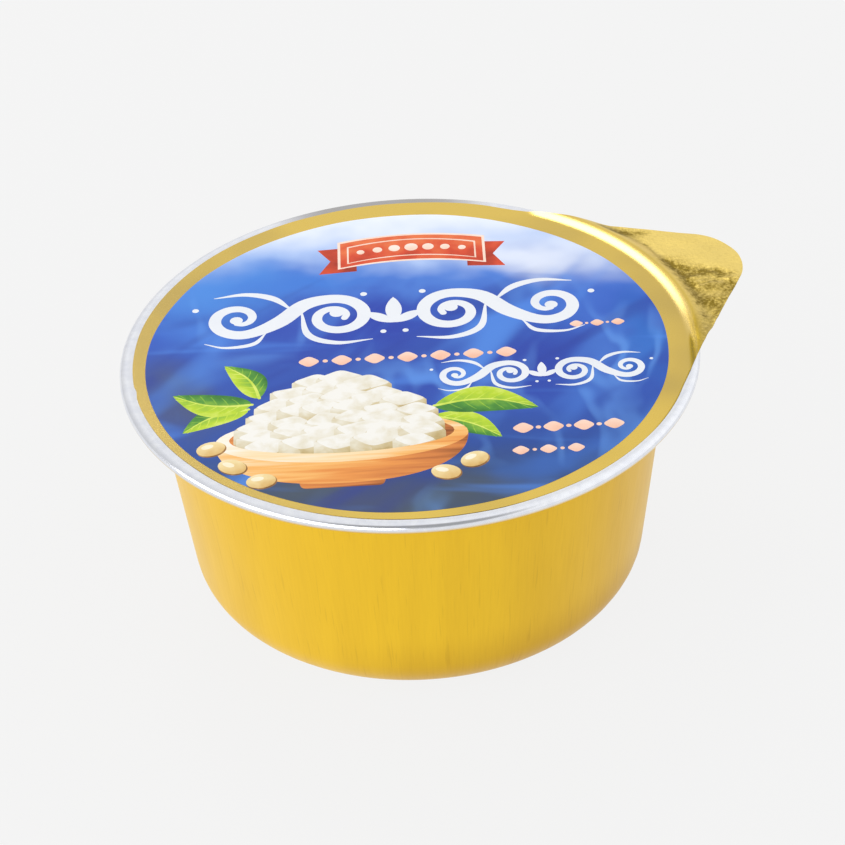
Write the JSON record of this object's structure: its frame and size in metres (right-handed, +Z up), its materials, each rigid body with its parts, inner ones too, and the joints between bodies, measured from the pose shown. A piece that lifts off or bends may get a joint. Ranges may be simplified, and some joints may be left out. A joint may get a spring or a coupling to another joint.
{
  "type": "sealed round foil food tub with pull-tab lid",
  "caption": "Small drawn aluminium tub of soft food, gold lacquered with a bare curled rim, shut by a heat-sealed printed foil lid with a pull tab.",
  "frame": {"origin": "centre of the flat base, on the surface the tub stands on", "axes": "+Z up along the tub's turning axis, -Y to the front of the lid's print, the pull tab to the right (+X) and back (+Y)"},
  "size_m": [0.0912, 0.083, 0.0378],
  "materials": {
    "lacquered_cup": "gold lacquer on drawn aluminium, satin, with a bare silver curled rim",
    "printed_foil": "gold foil with a fine grain, printed blue inside the sealed border"
  },
  "bodies": {
    "root": {"cup": "lacquered_cup", "lid": "printed_foil"}
  },
  "joints": []
}
